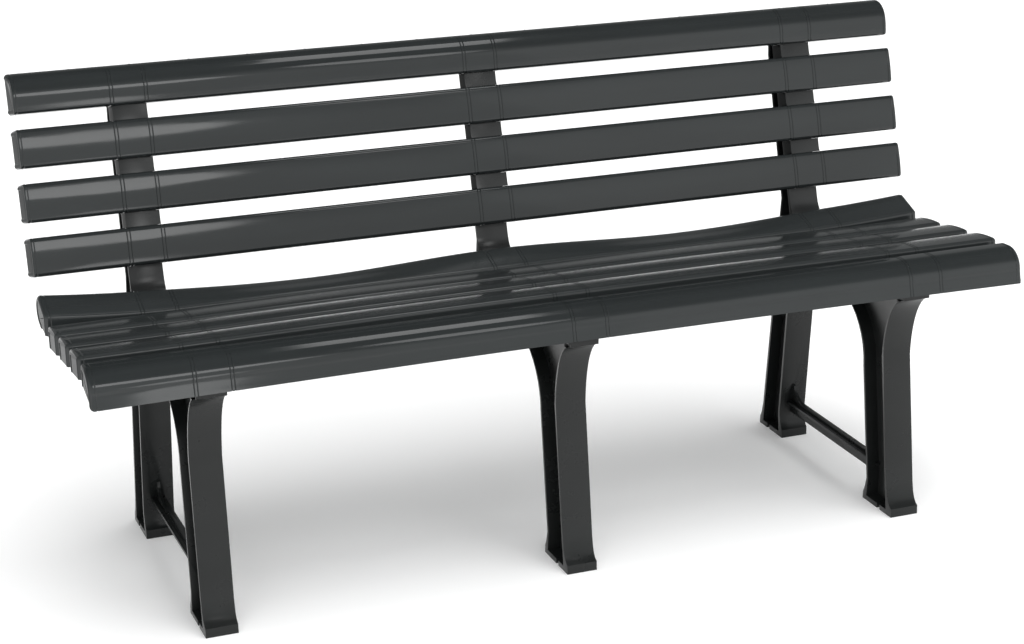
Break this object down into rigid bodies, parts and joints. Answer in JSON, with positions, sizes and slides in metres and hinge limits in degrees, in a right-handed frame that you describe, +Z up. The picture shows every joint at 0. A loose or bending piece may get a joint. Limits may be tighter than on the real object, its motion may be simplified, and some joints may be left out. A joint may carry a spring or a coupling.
{
  "type": "garden bench",
  "caption": "Slatted garden bench in moulded plastic: slatted seat and leaning slatted back on a middle frame and two end frames with stretchers.",
  "frame": {"origin": "on the ground under the middle of the bench's bounding box", "axes": "+X along the bench to the right seen from the front, +Y from the front edge to the backrest, +Z up"},
  "size_m": [1.464, 0.4918, 0.7338],
  "materials": {
    "slat_plastic": "satin moulded polypropylene, anthracite",
    "frame_plastic": "fine-grained moulded polypropylene, anthracite",
    "zinc_steel": "zinc-plated steel"
  },
  "bodies": {
    "root": {"back_slat_1": "slat_plastic", "back_slat_2": "slat_plastic", "back_slat_3": "slat_plastic", "back_slat_4": "slat_plastic", "seat_slat_1": "slat_plastic", "seat_slat_2": "slat_plastic", "seat_slat_3": "slat_plastic", "seat_slat_4": "slat_plastic", "seat_slat_5": "slat_plastic", "back_post_left": "frame_plastic", "back_post_centre": "frame_plastic", "back_post_right": "frame_plastic", "seat_rail_left": "frame_plastic", "seat_rail_centre": "frame_plastic", "seat_rail_right": "frame_plastic", "front_leg_left": "frame_plastic", "front_leg_centre": "frame_plastic", "front_leg_right": "frame_plastic", "rear_leg_left": "frame_plastic", "rear_leg_right": "frame_plastic", "stretcher_left": "frame_plastic", "stretcher_right": "frame_plastic", "back_slat_screws": "zinc_steel", "seat_slat_screws": "zinc_steel", "leg_bolts": "zinc_steel", "post_bolts": "zinc_steel"}
  },
  "joints": []
}
